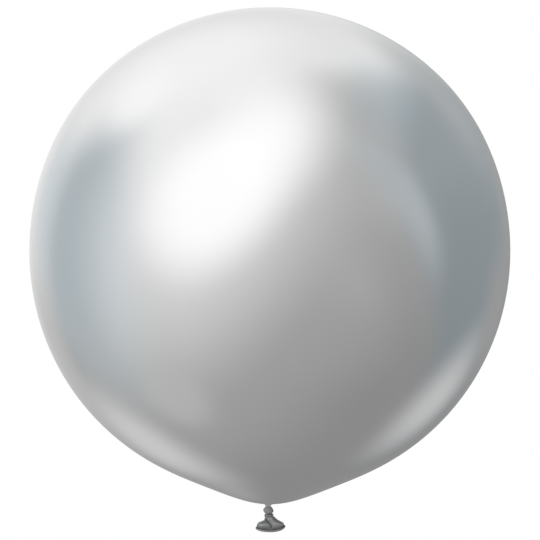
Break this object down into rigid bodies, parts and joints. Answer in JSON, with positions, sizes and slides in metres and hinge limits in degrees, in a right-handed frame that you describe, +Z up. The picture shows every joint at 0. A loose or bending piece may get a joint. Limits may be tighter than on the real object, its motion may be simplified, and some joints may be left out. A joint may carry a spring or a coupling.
{
  "type": "giant latex balloon",
  "caption": "Round silver giant latex balloon, inflated and tied, with its neck, knot, flared tail and rolled lip.",
  "frame": {"origin": "on the envelope's axis, at the height of the neck's narrowest section, where a ribbon is tied", "axes": "+Z up along the envelope's axis, +Y away from the side the picture shows, +X to the right in that view, along the tail's wide mouth"},
  "size_m": [0.6098, 0.6098, 0.6663],
  "materials": {
    "stretched_latex": "blown up thin, glossy metallic silver with soft reflections",
    "gathered_latex": "the same latex unstretched, darker satin silver grey with fine creases"
  },
  "bodies": {
    "root": {"envelope": "stretched_latex", "neck": "stretched_latex", "knot_upper_turn": "gathered_latex", "knot_lower_turn": "gathered_latex", "tail": "gathered_latex", "lip": "gathered_latex"}
  },
  "joints": []
}
